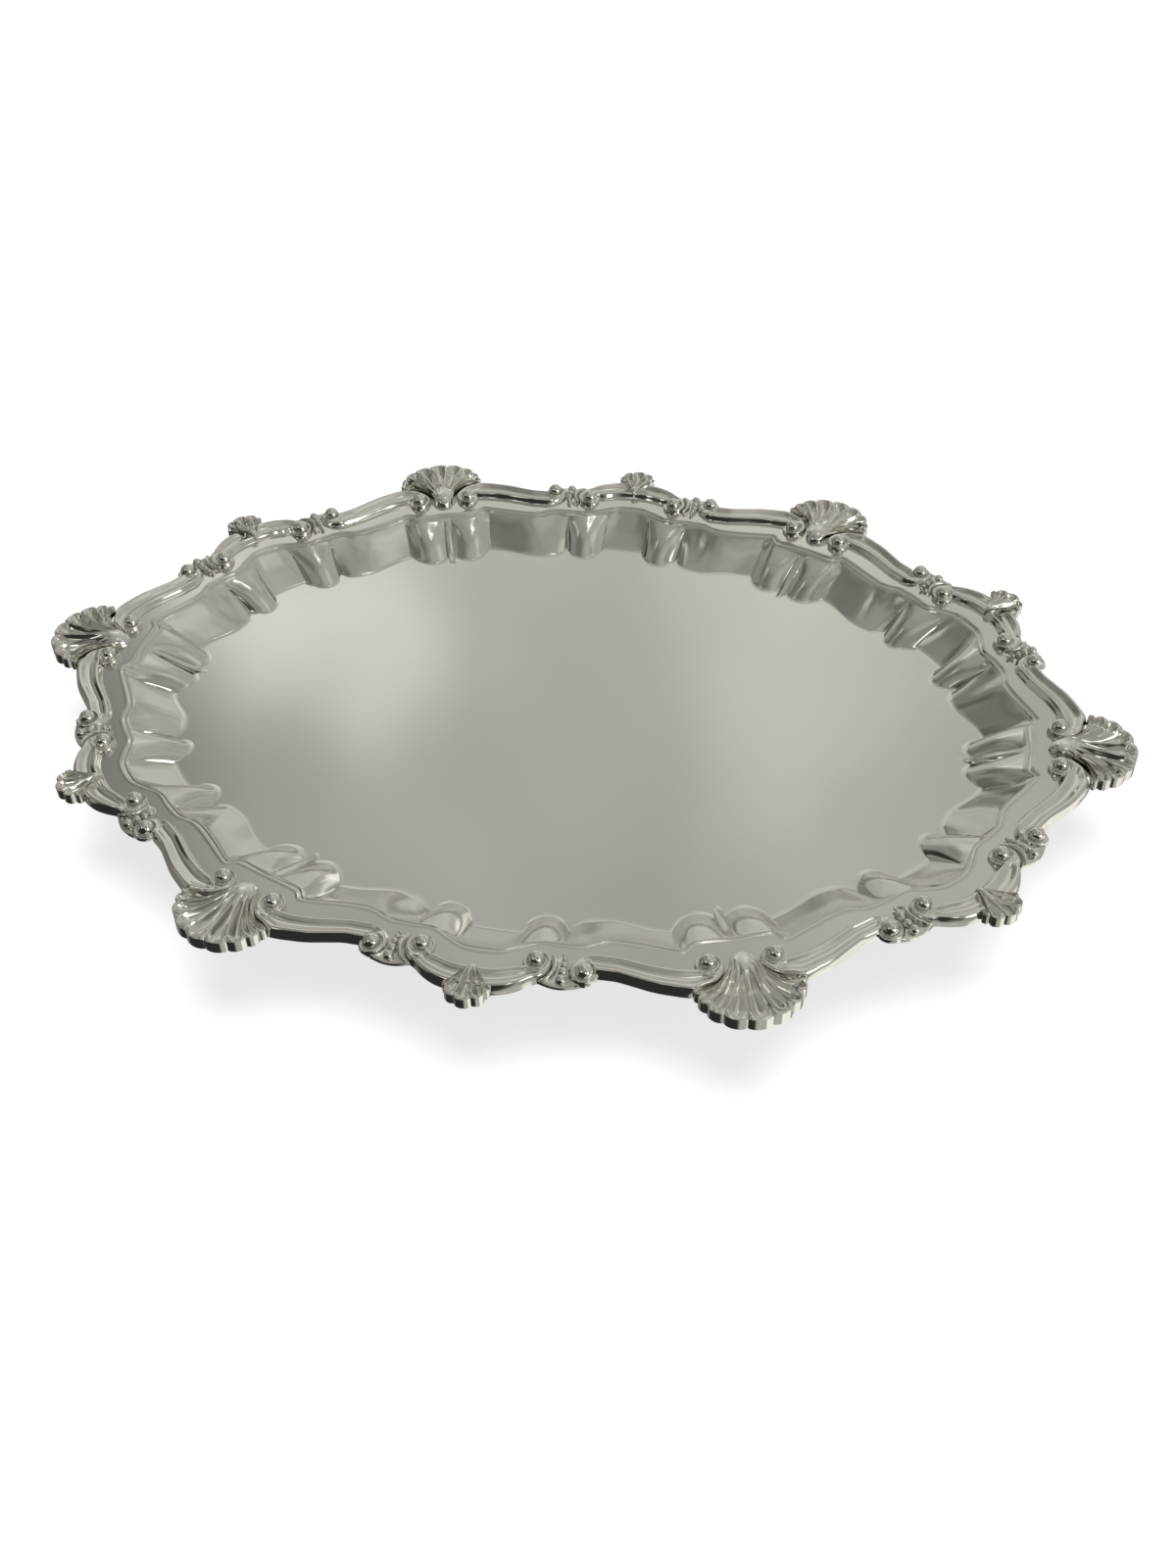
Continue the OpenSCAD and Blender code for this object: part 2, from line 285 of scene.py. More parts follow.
def ball(middle, radius, rings=14, segments=24):
    """Points, faces and recess of a ball, closed at its poles."""
    lat = np.linspace(0, math.pi, rings + 1)[1:-1]
    a, b = np.meshgrid(lat, ring_angles(segments), indexing="ij")
    shell = np.stack([np.sin(a) * np.cos(b), np.sin(a) * np.sin(b), np.cos(a)], -1).reshape(-1, 3)
    points = np.concatenate([shell, [[0, 0, 1], [0, 0, -1]]]) * radius + middle
    faces = grid_faces(rings - 1, segments, wrap_cols=True)
    north, south = len(shell), len(shell) + 1
    last = (rings - 2) * segments
    for j in range(segments):
        k = (j + 1) % segments
        faces.append([north, k, j])
        faces.append([south, last + j, last + k])
    return points, faces, np.zeros(len(points))


def finish_piece(piece, material, nodes):
    """Gives a piece its finish, and puts it on the frame in place of its CAD nodes."""
    piece.data.materials.clear()
    piece.data.materials.append(material)
    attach(piece, "root")
    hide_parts(*nodes)


# ---------------------------------------------------------------- plate
STEP_LINE = [[0, -6], [9, -5.6], [12, -3.6], [16.8, -4.8], [21, -6], [27, -7.4], [31.6, -7.6], [36.3, -6.2],
             [42, -6.4], [48, -6.9], [53, -4.4], [57, -2.6], [61.6, -2.2]]
WALL_TOP_LINE = [[0, -8.5], [9.5, -8.7], [12.6, -6.3], [16.8, -7.4], [21, -8.8], [27, -10.2], [31.6, -10.3],
                 [36.3, -8.8], [42, -8.8], [48, -9], [53, -7.2], [57, -5.5], [61.6, -5.3]]
RIM_LINE = [[0, 9], [9, 7], [12.6, 6.8], [21, 4.4], [29.4, 1], [33, 0.6], [36.3, 2.5], [41, 3], [46, 3.4],
            [50, 5], [55, 7], [61.6, 7.4]]
PANEL_LINE = [[14.3, -18.6], [20, -19.8], [28, -22.4], [33, -23], [38, -22.4], [41.4, -20]]
RIB_END, SHELL_PAD_END, PANEL_END, C_PAD_END = 1.2, 14.3, 41.4, 54.8
# Roundness of the corner at the bottom of the wall, as a share of the wall's width
TOE = 0.05
# Rings of the flat well, by their share of the innermost ring, and by their distance in from the oval
WELL_SHARES = (0.2, 0.5, 0.8)
WELL_RINGS = (-60, -45, -36, -30)
# The double fillet and the shelf outside it: (share of the width, share of the step, recess), where recess
# is tarnish with painted shade in the fillet's creases and on the shelf under the mouldings
FILLET = ((0.04, 0.12, 0.3), (0.1, 0.36, 0), (0.16, 0.46, 0), (0.22, 0.4, 0.35), (0.34, 0.3, 0.35),
          (0.46, 0.4, 0), (0.52, 0.56, 0), (0.62, 0.92, 0), (0.7, 1.06, 0), (0.8, 1.0, 0), (1.0, 1.0, 0))
SHELF = ((0.2, 0, 0), (0.5, 0, 0.5), (0.8, 0, 0.5), (0.97, 0, 0), (1.0, -0.12, 0))


def lobe(x, middle, half, reach, flank):
    """Round outline of a lobe that reaches furthest in its middle."""
    return reach + flank * (1 - np.sqrt(np.clip(1 - ((x - middle) / half) ** 2, 0, 1)))


def wall_foot(s):
    """Outline of the bottom of the wall: a rib's tip, round lobes under the eyes, and panels."""
    return np.select(
        [s < RIB_END, s < SHELL_PAD_END, s < PANEL_END, s < C_PAD_END],
        [-25.2 + 0.8 * s, lobe(s, 6.5, 8.6, -23.6, 10), outline(PANEL_LINE, s),
         lobe(s, 48.1, 7.2, -23.3, 9)],
        -17.4)


def swell(s):
    """How far the wall is pillowed at s: most in the middle of a lobe, none in the panels."""
    def bump(a, b):
        return np.clip(np.sin(math.pi * np.clip((s - a) / (b - a), 0, 1)), 0, 1) ** 0.6
    return bump(RIB_END, SHELL_PAD_END) + bump(PANEL_END, C_PAD_END)


def plate_stations():
    """Positions round the plate, in stations, with close columns at the creases between lobes."""
    creases = np.array([0, RIB_END, SHELL_PAD_END, PANEL_END, C_PAD_END, PITCH])
    counts = [3, 22, 28, 24, 8]
    half = []
    for a, b, count in zip(creases, creases[1:], counts):
        u = np.linspace(0, 1, count, endpoint=False)
        half.append(a + (b - a) * (u - 0.08 * np.sin(2 * math.pi * u)))
    half = np.concatenate(half) / PITCH
    pair = np.concatenate([half, [1.0], 2 - half[:0:-1]])
    return np.concatenate([pair + 2 * k for k in range(STATIONS // 2)])


def plate_top(s, step):
    """Rows of (n, z, recess) from the well's edge to the rim, each over all columns s."""
    level = np.zeros_like(s)
    foot = wall_foot(s)
    top, shelf, rim = (outline(line, s) for line in (WALL_TOP_LINE, STEP_LINE, RIM_LINE))
    low = SHELF_Z - step
    puff = swell(s)
    rows = [(n + level, WELL_Z + level, 0) for n in WELL_RINGS]
    rows.append((foot - 1.2, WELL_Z + level, 0))
    for u in np.concatenate([np.linspace(0, 0.12, 7)[:-1], np.linspace(0.12, 1, 15)]):
        straight = (math.hypot(u, TOE) - TOE) / (math.hypot(1, TOE) - TOE)
        arch = math.sin(math.pi * u)
        panel = straight - 0.07 * arch * u
        pillow = straight + 0.17 * arch * (1 - 0.35 * u)
        rise = panel + (pillow - panel) * puff
        # Tarnish and painted shade: darkest in the crease at the foot of the wall, a little along its top
        # edge
        recess = 1.0 if u < TOE else 0.3 if u == 1 else 0
        rows.append((foot + (top - foot) * u, WELL_Z + (low - WELL_Z) * rise, recess))
    for share, height, recess in FILLET:
        rows.append((top + (shelf - top) * share, low + step * height + level, recess))
    for share, height, recess in SHELF:
        rows.append((shelf + (rim - shelf) * share, SHELF_Z + height + level, recess))
    return rows


def make_plate(material):
    """The sheet: flat well, sculpted wall, double fillet and shelf, with its plain underside."""
    settings = bpy.context.scene.salver_plate
    sheet = settings.sheet / MM
    place = plate_stations()
    rows = plate_top(fold(place), settings.step / MM)
    top = np.stack([np.concatenate([on_oval(place * GIRTH / STATIONS, n), (z + EYE_Z)[:, None]], -1)
                    for n, z, _ in rows])
    well = np.stack([top[0] * [share, share, 1] for share in WELL_SHARES])
    top = np.concatenate([well, top])
    skin = np.concatenate([top, top[::-1] - [0, 0, sheet]]) * MM
    count, cols = skin.shape[:2]
    faces = grid_faces(count, cols, wrap_cols=True)
    middle, last = count * cols, (count - 1) * cols
    for j in range(cols):
        k = (j + 1) % cols
        faces.append([middle, k, j])
        faces.append([middle + 1, last + j, last + k])
    well_top = EYE_Z + WELL_Z
    middles = np.array([[0, 0, well_top], [0, 0, well_top - sheet]]) * MM
    points = np.concatenate([skin.reshape(-1, 3), middles])
    # Tarnish and painted shade from the rows' recess values, none in the well
    lines = np.zeros((count, cols))
    lines[len(well):len(top)] = np.array([recess for _, _, recess in rows])[:, None]
    piece = mesh_object("plate", points, faces, [*lines.ravel(), 0, 0], sharp=24)
    finish_piece(piece, material, ["well_plate"])


# ---------------------------------------------------------------- mouldings
# The moulding across its width, from its inner foot to its outer edge: steep rise, thin reed,
# broad cove and thick outer bead. Each point is (share of the width, height).
MOULDING = [[0, -1.62], [0.03, -1.5], [0.08, -1.0], [0.125, -0.45], [0.165, -0.08], [0.205, 0.04],
            [0.245, 0.0], [0.3, -0.26], [0.38, -0.54], [0.47, -0.66], [0.56, -0.56], [0.64, -0.28],
            [0.71, 0.06], [0.77, 0.32], [0.825, 0.42], [0.87, 0.34], [0.91, 0.08], [0.95, -0.48],
            [0.98, -1.2], [1.0, -2.1]]
# The plain round bead that the moulding narrows to round the ball eyes
BEAD = [[0, -1.0], [0.12, -0.5], [0.3, 0.0], [0.55, 0.25], [0.78, 0.1], [0.92, -0.55], [1.0, -1.9]]
LIP_Z = -2.5
LIP = 0.9
FOOT_LINE = [[10, 0.4], [12.6, 0.4], [16.8, -0.3], [21, -1.5], [25.2, -2.9], [29.4, -4.1], [33.7, -4.5]]
EDGE_LINE = [[9.8, 7.2], [12.6, 8.2], [16.8, 7.2], [21, 5.9], [25.2, 4.1], [29.4, 2.5], [33.2, 2]]
C_FOOT_LINE = [[0, 1.7], [4.2, 1.5], [8.4, 0.4], [11, -1.2]]
C_EDGE_LINE = [[0, 9.2], [4.2, 9], [8.4, 8], [12, 6], [13.8, 4.6]]
RING_R = BALL_R + 0.3


def turn(eye, count, inner, outer, height):
    """Sections round a ball eye. inner and outer give (radius, degrees) for the share u of the turn."""
    rows = []
    for u in np.linspace(0, 1, count):
        r0, a0 = inner(u)
        r1, a1 = outer(u)
        rows.append((polar(eye, r0, a0), polar(eye, r1, a1), height(u)))
    return rows


def run(foot_line, edge_line, places):
    """Sections between two outlines, at places along the strip."""
    return [(np.array([s, outline(foot_line, s)]), np.array([s, outline(edge_line, s)]), 1.0)
            for s in places]


def long_scroll_rows():
    """Sections of an S-scroll, from its volute by the shell to its outer volute."""
    shell_turn = turn(
        EYE_SHELL, 12,
        lambda u: (RING_R, 290 - 265 * u),
        lambda u: (wind(7.3, 3.1, 1 - u, 3), 290 - 215 * u),
        lambda u: 0.9 + 0.1 * u)
    outer_turn = turn(
        EYE_OUTER, 12,
        lambda u: (wind(6.9, 3.3, u, 3), 249 + 206 * u),
        lambda u: (RING_R, 180 + 275 * u),
        lambda u: 1 - 0.12 * u)
    return shell_turn + run(FOOT_LINE, EDGE_LINE, np.arange(12.2, 32.5, 2.4)) + outer_turn


def c_scroll_rows():
    """Sections of a C-scroll, wound in at both ends and mirrored about its middle."""
    bridge = [(np.array([10.5, 0.1]), np.array([11.4, outline(C_EDGE_LINE, 11.4)]), 1.0)]
    half = run(C_FOOT_LINE, C_EDGE_LINE, [0, 2.2, 4.4, 6.6, 8.8]) + bridge + turn(
        EYE_C, 12,
        lambda u: (RING_R, 150 - 270 * u),
        lambda u: (wind(5.9, 3.0, u, 2.2), 90 - 210 * u),
        lambda u: 1 - 0.12 * u)
    flip = np.array([-1, 1])
    return [(f * flip, e * flip, h) for f, e, h in half[:0:-1]] + half


def smooth_rows(rows, per_span):
    """Closely spaced sections through the given ones."""
    packed = spline([[*f, *e, h] for f, e, h in rows], per_span)
    return packed[:, 0:2], packed[:, 2:4], packed[:, 4]


def moulding_part(station, side, rows, per_span=5):
    """Points, faces and recess of a moulding swept through its sections."""
    foot, edge, height = smooth_rows(rows, per_span)
    across = spline(MOULDING, 3)
    share, rise = across[:, 0], across[:, 1]
    width = np.linalg.norm(edge - foot, axis=1)[:, None]
    narrow = np.clip((5.6 - width) / 2, 0, 1)
    rise = rise[None, :] * (1 - narrow) + outline(BEAD, share)[None, :] * narrow
    way = (edge - foot) / width
    flat = foot[:, None] + (edge - foot)[:, None] * share[None, :, None]
    z = SHELF_Z + (rise - SHELF_Z) * height[:, None] * np.clip(0.8 + width / 27, 0.8, 1.0)
    z = np.where(rise < SHELF_Z, rise, z)
    lip_in = edge - way * np.minimum(LIP, 0.4 * width)
    under = np.stack([edge, lip_in, lip_in, foot], 1)
    under_z = np.broadcast_to([LIP_Z, LIP_Z, SHELF_Z, SHELF_Z], under.shape[:2])
    flat = np.concatenate([flat, under], 1)
    z = np.concatenate([z, under_z], 1)
    points = bend(station, side, flat[..., 0], flat[..., 1], z)
    count, m = points.shape[:2]
    # Tarnish and painted shade along the moulding's channels and outer edge, and all over its hidden
    # underside
    groove = 1.1 * np.exp(-((share - 0.05) / 0.1) ** 2) + 0.75 * np.exp(-((share - 0.32) / 0.07) ** 2)
    groove += 0.4 * np.exp(-((share - 0.62) / 0.06) ** 2) + 0.6 * (share > 0.955)
    groove = groove[None, :] * (1 - 0.7 * narrow) + narrow * np.exp(-(share / 0.12) ** 2)[None, :]
    recess = np.concatenate([groove, np.ones((count, 4))], 1)
    return points, tube_faces(count, m), recess


# The dished collar round a ball eye, from its inner edge: (radius, height)
COLLAR = [[1.2, -0.5], [1.9, -0.5], [2.3, -0.75], [2.7, -0.7], [3.0, -0.8], [3.15, -1.2], [3.15, -1.7]]


def eye_part(station, side, eye):
    """A ball eye with the shallow dished collar that it sits in."""
    middle = bend(station, side, eye[0], eye[1], 0.0)
    profile = spline(COLLAR, 3)
    a = ring_angles(32)
    rings = np.stack([profile[:, :1] * np.cos(a), profile[:, :1] * np.sin(a), profile[:, 1:] + 0 * a], -1)
    count, m = rings.shape[:2]
    faces = [face[::-1] for face in tube_faces(count, m)]
    # Tarnish and painted shade in the dished collar round the ball
    dish = np.repeat(np.clip(1.3 - np.abs(profile[:, 0] - 2.3) / 0.7, 0, 1), m)
    collar = (rings.reshape(-1, 3) * MM + middle, faces, dish)
    return join_parts([collar, ball(middle, BALL_R * MM)])


def make_long_scrolls(material):
    """Twelve S-scrolls, one each side of every shell, with their ball eyes."""
    rows = long_scroll_rows()
    for side, hand in ((-1, "left"), (1, "right")):
        for number, station in enumerate(SHELL_STATIONS, 1):
            parts = [moulding_part(station, side, rows), eye_part(station, side, EYE_SHELL),
                     eye_part(station, side, EYE_OUTER)]
            piece = mesh_object(f"long_scroll_{hand}_{number}", *join_parts(parts))
            finish_piece(piece, material, [f"scroll_{hand}_{number}"])


def make_c_scrolls(material):
    """Six C-scrolls between the long scrolls, each with two ball eyes."""
    rows = c_scroll_rows()
    for number, station in enumerate(PALMETTE_STATIONS, 1):
        parts = [moulding_part(station, 1, rows), eye_part(station, 1, EYE_C), eye_part(station, -1, EYE_C)]
        piece = mesh_object(f"c_scroll_moulding_{number}", *join_parts(parts))
        finish_piece(piece, material, [f"c_scroll_{number}"])


# ---------------------------------------------------------------- shells and palmettes
# A fan's shape. root: half width, outward place and curve of its narrow end. bow: half width and place
# that its flutes are drawn towards. middle and radius: of the round rim. spread: half angle of the rim in
# degrees. crown and low: heights of its ridges and of its ground. tongue: plain share of its root. notch:
# depth of the rim's scallops.
SHELL_FAN = {"root": (2.6, -3.3, 1.6), "bow": (4.2, 7.4), "middle": 6.8, "radius": 12.6, "spread": 84,
             "crown": 1.2, "low": SHELF_Z, "tongue": 0.26, "notch": 0.055}
PALMETTE_FAN = {"root": (0.2, 1.9, 0.2), "bow": (3.0, 6.9), "middle": 8.9, "radius": 5.4, "spread": 88,
                "crown": 1.45, "low": -1.0, "tongue": 0.16, "notch": 0.13}
PALMETTE_DEPTH = 1.6
FAN_ROWS, SKIRT_ROWS, COLUMNS_PER_FLUTE = 44, 7, 14
SKIRT_BELOW = 0.75


def fan_part(station, flutes, depth, root, bow, middle, radius, spread, crown, low, tongue, notch):
    """A fan of scooped flutes from a narrow root to a scalloped rim with an upright skirt below it."""
    # u runs from the root to the rim, drop down the skirt, and v across the fan
    u = np.linspace(0, 1, FAN_ROWS)
    u = np.concatenate([u + 0.1 * np.sin(math.pi * u) * u, np.ones(SKIRT_ROWS)])[:, None]
    drop = np.concatenate([np.zeros(FAN_ROWS), np.linspace(0.08, 1, SKIRT_ROWS)])[:, None]
    rows, cols = FAN_ROWS + SKIRT_ROWS, flutes * COLUMNS_PER_FLUTE + 1
    v = np.linspace(-1, 1, cols)[None, :]
    # 0 in the middle of a flute and 1 on a ridge
    phase = v * flutes / 2
    phase = np.abs(phase - np.round(phase)) * 2
    fanned = 0.65 * np.sin(v * math.pi / 2) + 0.35 * v

    # plan: curves from the root to the rim, drawn towards the bow
    angle = np.radians(spread) * fanned
    reach = radius * (1 - notch * phase ** 2.5)
    near, between, far = (1 - u) ** 2, 2 * u * (1 - u), u * u
    s = root[0] * fanned * near + bow[0] * fanned * between + reach * np.sin(angle) * far
    n = (root[1] + root[2] * fanned ** 2) * near + bow[1] * between + (middle + reach * np.cos(angle)) * far

    # height: a rounded body, hollowed by the flutes
    start = np.clip((u - tongue * (1 - 0.85 * np.abs(fanned))) / 0.36, 0, 1)
    start = start * start * (3 - 2 * start)
    cap = np.clip(u - 0.8, 0, None) / 0.18
    hollow = np.clip(1 - (phase / 0.88) ** 2 - cap ** 2.5, 0, 1) ** 0.8
    body = crown * (0.45 + 0.55 * np.sin(np.clip(u * 1.6, 0, 1) * math.pi / 2))
    body = body + 0.3 * (1 - start) * np.clip(1 - fanned ** 2 * 1.2, 0, 1) * np.clip(u / 0.2, 0, 1)
    tip = np.clip(u / 0.14, 0, 1)
    body = low + (body - low) * np.sqrt(np.clip(1 - (1 - tip) ** 2, 0, 1))
    side_drop = 0.5 * np.abs(fanned) ** 5
    crease = 0.35 * np.clip(1 - np.abs(phase - 1) / 0.1, 0, 1) * start
    lip = np.clip((u - 0.94) / 0.06, 0, 1)
    z = body - depth * start * hollow * np.clip(u * 1.5, 0.15, 1) - side_drop - crease - 0.3 * lip ** 2
    skirt_z = low - SKIRT_BELOW
    z = z + (skirt_z - z) * drop

    floor_z = np.where(u + 0 * v > 0.93, skirt_z, low)
    top = bend(station, 1, s, n, z)
    under = bend(station, 1, s, n, np.minimum(floor_z, z - 0.02))
    points = np.concatenate([top.reshape(-1, 3), under.reshape(-1, 3)])
    # Tarnish and painted shade: down the hollows towards the root, along the ridges and the skirt, at the
    # fan's two ends and at its root, and all over the hidden underside
    ridge = np.exp(-((phase - 0.97) / 0.16) ** 2)
    fan_patina_and_shade = (hollow * start * np.clip(0.7 - 0.8 * u, 0, 1) + ridge * (0.55 * start + 0.4 * drop)
            + 0.9 * np.clip((v ** 2 - 0.88) / 0.12, 0, 1) + np.exp(-(u / 0.06) ** 2) * 0.8)
    recess = np.concatenate([fan_patina_and_shade.ravel(), np.ones(rows * cols)])
    return points, slab_faces(rows, cols), recess


def make_shells(material):
    """Six fluted shells, with their rounded roots lying on the shelf."""
    border = bpy.context.scene.salver_border
    for number, station in enumerate(SHELL_STATIONS, 1):
        part = fan_part(station, border.shell_flutes, border.flute_depth / MM, **SHELL_FAN)
        piece = mesh_object(f"scallop_shell_{number}", *part, sharp=50)
        finish_piece(piece, material, [f"shell_{number}"])


def make_palmettes(material):
    """Six palmettes, each lying over the middle of a C-scroll."""
    border = bpy.context.scene.salver_border
    for number, station in enumerate(PALMETTE_STATIONS, 1):
        part = fan_part(station, border.palmette_flutes, PALMETTE_DEPTH, **PALMETTE_FAN)
        piece = mesh_object(f"palmette_leaf_{number}", *part, sharp=50)
        finish_piece(piece, material, [f"palmette_{number}"])


# ---------------------------------------------------------------- pearls
# A wedge's pearls: place along the strip, outward place and radius
PEARL_ROW = [[41.3, -3.6, 0.5], [41.1, -2.3, 0.7], [41.1, -0.6, 0.9], [41.3, 1.5, 1.1], [41.5, 4.0, 1.3]]
PEARL_SEGMENTS = 24
WEB_Z = -0.9


def pearl_tree():
    """Geometry Nodes: a ball on every point of the web, scaled by the point's pearl attribute."""
    tree = bpy.data.node_groups.new("pearls_on_points", "GeometryNodeTree")
    face = tree.interface
    face.new_socket("Geometry", in_out="INPUT", socket_type="NodeSocketGeometry")
    face.new_socket("Segments", in_out="INPUT", socket_type="NodeSocketInt")
    face.new_socket("Finish", in_out="INPUT", socket_type="NodeSocketMaterial")
    face.new_socket("Geometry", in_out="OUTPUT", socket_type="NodeSocketGeometry")
    nodes, links = tree.nodes, tree.links
    enter = nodes.new("NodeGroupInput")
    leave = nodes.new("NodeGroupOutput")
    size = nodes.new("GeometryNodeInputNamedAttribute")
    size.data_type = "FLOAT"
    size.inputs["Name"].default_value = "pearl"
    to_points = nodes.new("GeometryNodeMeshToPoints")
    sphere = nodes.new("GeometryNodeMeshUVSphere")
    sphere.inputs["Radius"].default_value = 1.0
    rings = nodes.new("ShaderNodeMath")
    rings.operation = "DIVIDE"
    rings.inputs[1].default_value = 2.0
    smooth = nodes.new("GeometryNodeSetShadeSmooth")
    place = nodes.new("GeometryNodeInstanceOnPoints")
    real = nodes.new("GeometryNodeRealizeInstances")
    finish = nodes.new("GeometryNodeSetMaterial")
    links.new(enter.outputs["Geometry"], to_points.inputs["Mesh"])
    links.new(enter.outputs["Segments"], sphere.inputs["Segments"])
    links.new(enter.outputs["Segments"], rings.inputs[0])
    links.new(rings.outputs[0], sphere.inputs["Rings"])
    links.new(sphere.outputs["Mesh"], smooth.inputs["Geometry"])
    links.new(to_points.outputs["Points"], place.inputs["Points"])
    links.new(smooth.outputs["Geometry"], place.inputs["Instance"])
    links.new(size.outputs["Attribute"], place.inputs["Scale"])
    links.new(place.outputs["Instances"], real.inputs["Geometry"])
    links.new(real.outputs["Geometry"], finish.inputs["Geometry"])
    links.new(enter.outputs["Finish"], finish.inputs["Material"])
    links.new(finish.outputs["Geometry"], leave.inputs["Geometry"])
    return tree


def socket_name(tree, label):
    """Identifier of a tree's input, by the name that it shows."""
    for item in tree.interface.items_tree:
        if item.in_out == "INPUT" and item.name == label:
            return item.identifier
    raise RuntimeError(f"the tree has no input called {label}")


def pearl_part(tree, station, side, material):
    """Points, faces and recess of one wedge's pearls, made by the tree."""
    row = np.array(PEARL_ROW)
    centres = bend(station, side, row[:, 0], row[:, 1], WEB_Z + 0.15 * row[:, 2])
    mesh = bpy.data.meshes.new("pearl_points")
    mesh.from_pydata(centres.tolist(), [], [])
    layer = mesh.attributes.new("pearl", "FLOAT", "POINT")
    layer.data.foreach_set("value", (row[:, 2] * MM).astype(np.float32))
    holder = bpy.data.objects.new("pearl_points", mesh)
    bpy.context.scene.collection.objects.link(holder)
    modifier = holder.modifiers.new("pearls", "NODES")
    modifier.node_group = tree
    modifier[socket_name(tree, "Segments")] = PEARL_SEGMENTS
    modifier[socket_name(tree, "Finish")] = material
    shown = holder.evaluated_get(bpy.context.evaluated_depsgraph_get())
    result = bpy.data.meshes.new_from_object(shown)
    points = np.empty(len(result.vertices) * 3)
    result.vertices.foreach_get("co", points)
    faces = [list(face.vertices) for face in result.polygons]
    bpy.data.objects.remove(holder)
    bpy.data.meshes.remove(mesh)
    bpy.data.meshes.remove(result)
    return points.reshape(-1, 3), faces, np.zeros(len(points) // 3)


def outer_edge(degrees, gap):
    """Edge of the long scroll's outer volute, widened by gap, at angles round its eye."""
    u = ((degrees + 360) - 249) / 206
    return polar(EYE_OUTER, wind(6.9, 3.3, u, 3) + gap, degrees)


def c_edge(degrees, gap):
    """Edge of the C-scroll's volute, widened by gap, at angles round its eye."""
    u = (90 - degrees) / 210
    p = polar(EYE_C, wind(5.9, 3.0, u, 2.2) + gap, degrees)
    return np.stack([PITCH - p[..., 0], p[..., 1]], -1)


def web_part(station, side):
    """The wedge's ground: a sunk web that rises to round edges."""
    rows = 25
    left = outer_edge(np.linspace(-44, 74, rows), 0.05)
    right = c_edge(np.linspace(-36, 80, rows), 0.05)
    share = np.linspace(0, 1, 13)
    flat = left[:, None] + (right - left)[:, None] * share[None, :, None]
    tip = np.array([41.9, -5.1])
    low = np.clip(1 - np.arange(rows) / 4, 0, 1)[:, None, None]
    flat = flat + (tip - flat) * low ** 2 * 0.75
    z = WEB_Z - 0.35 * np.sin(math.pi * share)[None, :] + 0 * flat[..., 0]
    z[-2:] += np.array([-0.03, -0.2])[:, None]
    z[:2] += np.array([-0.7, -0.25])[:, None]
    bulge = np.sin(math.pi * share)[None, :] * np.clip((np.arange(rows) - 18) / 6, 0, 1)[:, None] ** 2
    flat[..., 1] += 1.1 * bulge
    top = bend(station, side, flat[..., 0], flat[..., 1], z)
    under = bend(station, side, flat[..., 0], flat[..., 1], SHELF_Z - 0.6)
    faces = slab_faces(*z.shape)
    points = np.concatenate([top.reshape(-1, 3), under.reshape(-1, 3)])
    if side > 0:
        faces = [face[::-1] for face in faces]
    # The whole web is darkened: tarnish and painted shade in the sunk ground between the pearls
    return points, faces, np.ones(len(points))


def leaf_part(station, side):
    """A thin curved leaf with pointed ends along the C-scroll's volute."""
    count, around = 34, 12
    u = np.linspace(0, 1, count)
    spine = c_edge(-34 + 108 * u, 0.85)
    half = 0.6 * np.sqrt(np.clip(np.sin(math.pi * np.clip(u, 0.002, 0.998)), 0, 1)) * (0.7 + 0.5 * u)
    along = np.gradient(spine, axis=0)
    along /= np.linalg.norm(along, axis=1, keepdims=True)
    across = np.stack([along[:, 1], -along[:, 0]], -1)
    a = ring_angles(around)
    flat = spine[:, None] + across[:, None] * (half[:, None] * np.cos(a)[None, :])[..., None]
    lift = np.sin(a)[None, :] * half[:, None] * 1.5
    z = -0.8 + 0.35 * np.sin(math.pi * u)[:, None] + lift
    points = bend(station, side, flat[..., 0], flat[..., 1], np.maximum(z, SHELF_Z - 0.5)).reshape(-1, 3)
    faces = tube_faces(count, around)
    if side < 0:
        faces = [face[::-1] for face in faces]
    return points, faces, np.zeros(len(points))


def make_pearls(material):
    """Twelve wedges of graduated pearls, each with its thin leaf."""
    tree = pearl_tree()
    for side, hand in ((-1, "left"), (1, "right")):
        for number, station in enumerate(SHELL_STATIONS, 1):
            parts = [web_part(station, side), leaf_part(station, side),
                     pearl_part(tree, station, side, material)]
            piece = mesh_object(f"pearl_wedge_{hand}_{number}", *join_parts(parts), sharp=50)
            finish_piece(piece, material, [f"pearls_{hand}_{number}"])


# ---------------------------------------------------------------- feet
FOOT_N = -24.0
FOOT_STATIONS = (2, 4, 8, 10)
FOOT_TOP = 15.75
# The middle line of a leg, outwards and up from the table, and its half width and half depth at each point
FOOT_PATH = [[-7.4, 15.6], [-6.0, 14.6], [-3.2, 13.3], [-0.9, 11.2], [-0.3, 8.6], [-1.2, 6.2], [-1.9, 4.4],
             [-1.5, 2.8], [0.0, 1.7], [2.2, 1.3]]
FOOT_WIDTH = [4.6, 4.4, 4.0, 3.4, 2.7, 2.1, 1.8, 1.9, 2.6, 2.9]
FOOT_DEPTH = [0.7, 1.4, 2.2, 2.4, 2.0, 1.5, 1.3, 1.3, 1.2, 1.0]


